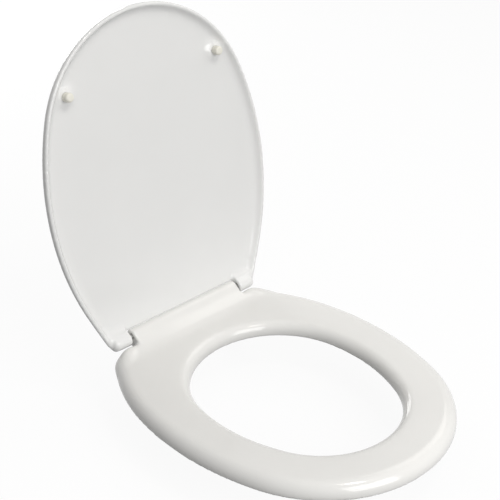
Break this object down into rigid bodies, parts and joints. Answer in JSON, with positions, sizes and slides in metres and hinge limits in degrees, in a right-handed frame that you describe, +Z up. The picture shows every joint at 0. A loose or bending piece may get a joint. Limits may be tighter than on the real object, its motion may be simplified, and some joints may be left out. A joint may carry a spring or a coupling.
{
  "type": "toilet seat",
  "caption": "Egg-shaped toilet seat in white moulded plastic: a ring that lifts, a dished lid that leans back, a straight hinge barrel and studs that clamp the pan's deck.",
  "frame": {"origin": "midway between the two fixing studs, on the plane of the pan's deck", "axes": "+Z up out of the deck, the front of the seat towards -Y, X along the hinge axis"},
  "size_m": [0.367, 0.5126, 0.5034],
  "materials": {
    "shell": "gloss white",
    "buffer": "soft cream plastic",
    "pin": "stainless",
    "fixing": "satin white",
    "gasket": "soft black"
  },
  "bodies": {
    "fixings": {"hinge_pin_left": "pin", "hinge_pin_right": "pin", "hinge_post_left": "fixing", "hinge_post_right": "fixing", "base_gasket_left": "gasket", "base_gasket_right": "gasket", "cone_washer_left": "gasket", "cone_washer_right": "gasket", "flat_washer_left": "fixing", "flat_washer_right": "fixing", "wing_nut_left": "fixing", "wing_nut_right": "fixing"},
    "seat": {"seat_ring": "shell", "seat_buffer_rear_left": "buffer", "seat_buffer_rear_right": "buffer", "seat_buffer_front_left": "buffer", "seat_buffer_front_right": "buffer"},
    "lid_body": {"lid": "shell", "lid_buffer_left": "buffer", "lid_buffer_right": "buffer"}
  },
  "joints": [
    {"name": "seat_lift", "type": "hinge", "parent": "fixings", "child": "seat", "pos_m": [0, 0, 0.036], "axis": [-1, 0, 0], "range_deg": [0, 100]},
    {"name": "lid_lift", "type": "hinge", "parent": "seat", "child": "lid_body", "pos_m": [0, 0, 0.036], "axis": [-1, 0, 0], "range_deg": [-100, 0]}
  ]
}
